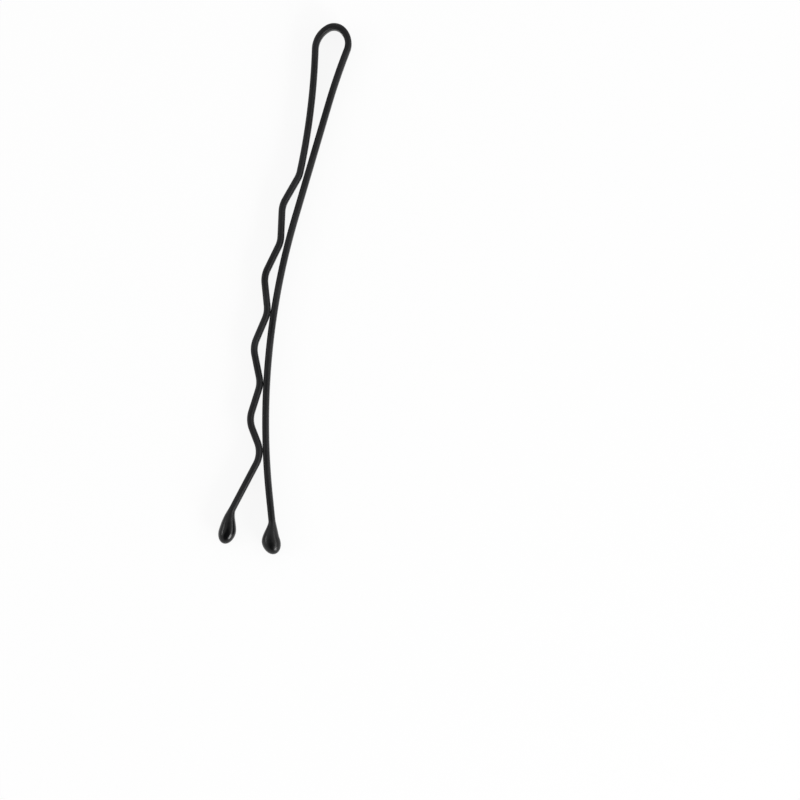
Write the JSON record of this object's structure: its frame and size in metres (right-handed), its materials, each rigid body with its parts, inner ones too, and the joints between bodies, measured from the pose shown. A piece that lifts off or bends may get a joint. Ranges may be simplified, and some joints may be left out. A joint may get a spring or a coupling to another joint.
{
  "type": "bobby pin",
  "caption": "Flat-wire hair pin: a straight leg and a crimped wavy leg sprung together by a tight loop, with flared ends dipped in glossy black beads.",
  "frame": {"origin": "under the middle of the pin's box, on the surface that the pin lies on", "axes": "+Z square to the plane of the bends and up from that surface, +Y along the pin to its loop, wavy leg on the -X side"},
  "size_m": [0.0062, 0.0512, 0.0018],
  "materials": {
    "black_lacquered_wire": "satin black lacquer over spring steel",
    "black_resin": "glossy dipped resin"
  },
  "bodies": {
    "straight_leg": {"straight_leg": "black_lacquered_wire", "spring_bend": "black_lacquered_wire", "straight_leg_tip": "black_resin"},
    "wavy_leg": {"wavy_leg": "black_lacquered_wire", "wavy_leg_tip": "black_resin"}
  },
  "joints": [
    {"name": "spring_bend_flex", "type": "hinge", "parent": "straight_leg", "child": "wavy_leg", "pos_m": [0.00034, 0.02407, 0.00089], "axis": [0, 0, -1], "range_deg": [0, 20], "stiffness_Nm_per_rad": 0.15, "springref_deg": -5.73, "deforming": ["spring_bend"]}
  ]
}
